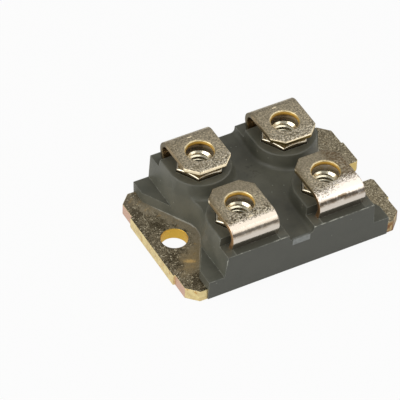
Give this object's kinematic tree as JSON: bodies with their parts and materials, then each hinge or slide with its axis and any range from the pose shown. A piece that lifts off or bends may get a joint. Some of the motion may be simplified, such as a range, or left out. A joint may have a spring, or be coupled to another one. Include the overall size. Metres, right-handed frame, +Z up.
{
  "type": "isolated diode power module",
  "caption": "Isolated power diode module: plated base plate with mounting hole and open slot, dark moulded housing with towers, folded screw terminals over captive hexagon nuts.",
  "frame": {"origin": "centre of the base plate's underside", "axes": "+X along the length towards the open mounting slot, +Y across towards the cathode terminals, +Z up out of the mounting surface"},
  "size_m": [0.0382, 0.0252, 0.012],
  "materials": {
    "plate_plating": "matt nickel plating on copper, warm and mottled",
    "terminal_plating": "matt nickel plating on copper, polished at the folds",
    "nut_plating": "bright nickel plating on steel",
    "housing_resin": "moulded filled resin, satin",
    "copper": "bare copper",
    "solder": "dull solder",
    "ceramic": "white alumina",
    "chip": "polished silicon"
  },
  "bodies": {
    "root": {"baseplate": "plate_plating", "substrate_solder": "solder", "substrate_backing": "copper", "ceramic_insulator": "ceramic", "anode_pad_1": "copper", "anode_pad_2": "copper", "cathode_pad_1": "copper", "cathode_pad_2": "copper", "chip_solder": "solder", "diode_chip_1": "chip", "diode_chip_2": "chip", "clip_solder": "solder", "anode_clip_1": "copper", "anode_clip_2": "copper", "terminal_solder": "solder", "anode_terminal_1": "terminal_plating", "anode_terminal_2": "terminal_plating", "cathode_terminal_1": "terminal_plating", "cathode_terminal_2": "terminal_plating", "terminal_nut_1": "nut_plating", "terminal_nut_2": "nut_plating", "terminal_nut_3": "nut_plating", "terminal_nut_4": "nut_plating", "housing": "housing_resin"}
  },
  "joints": []
}
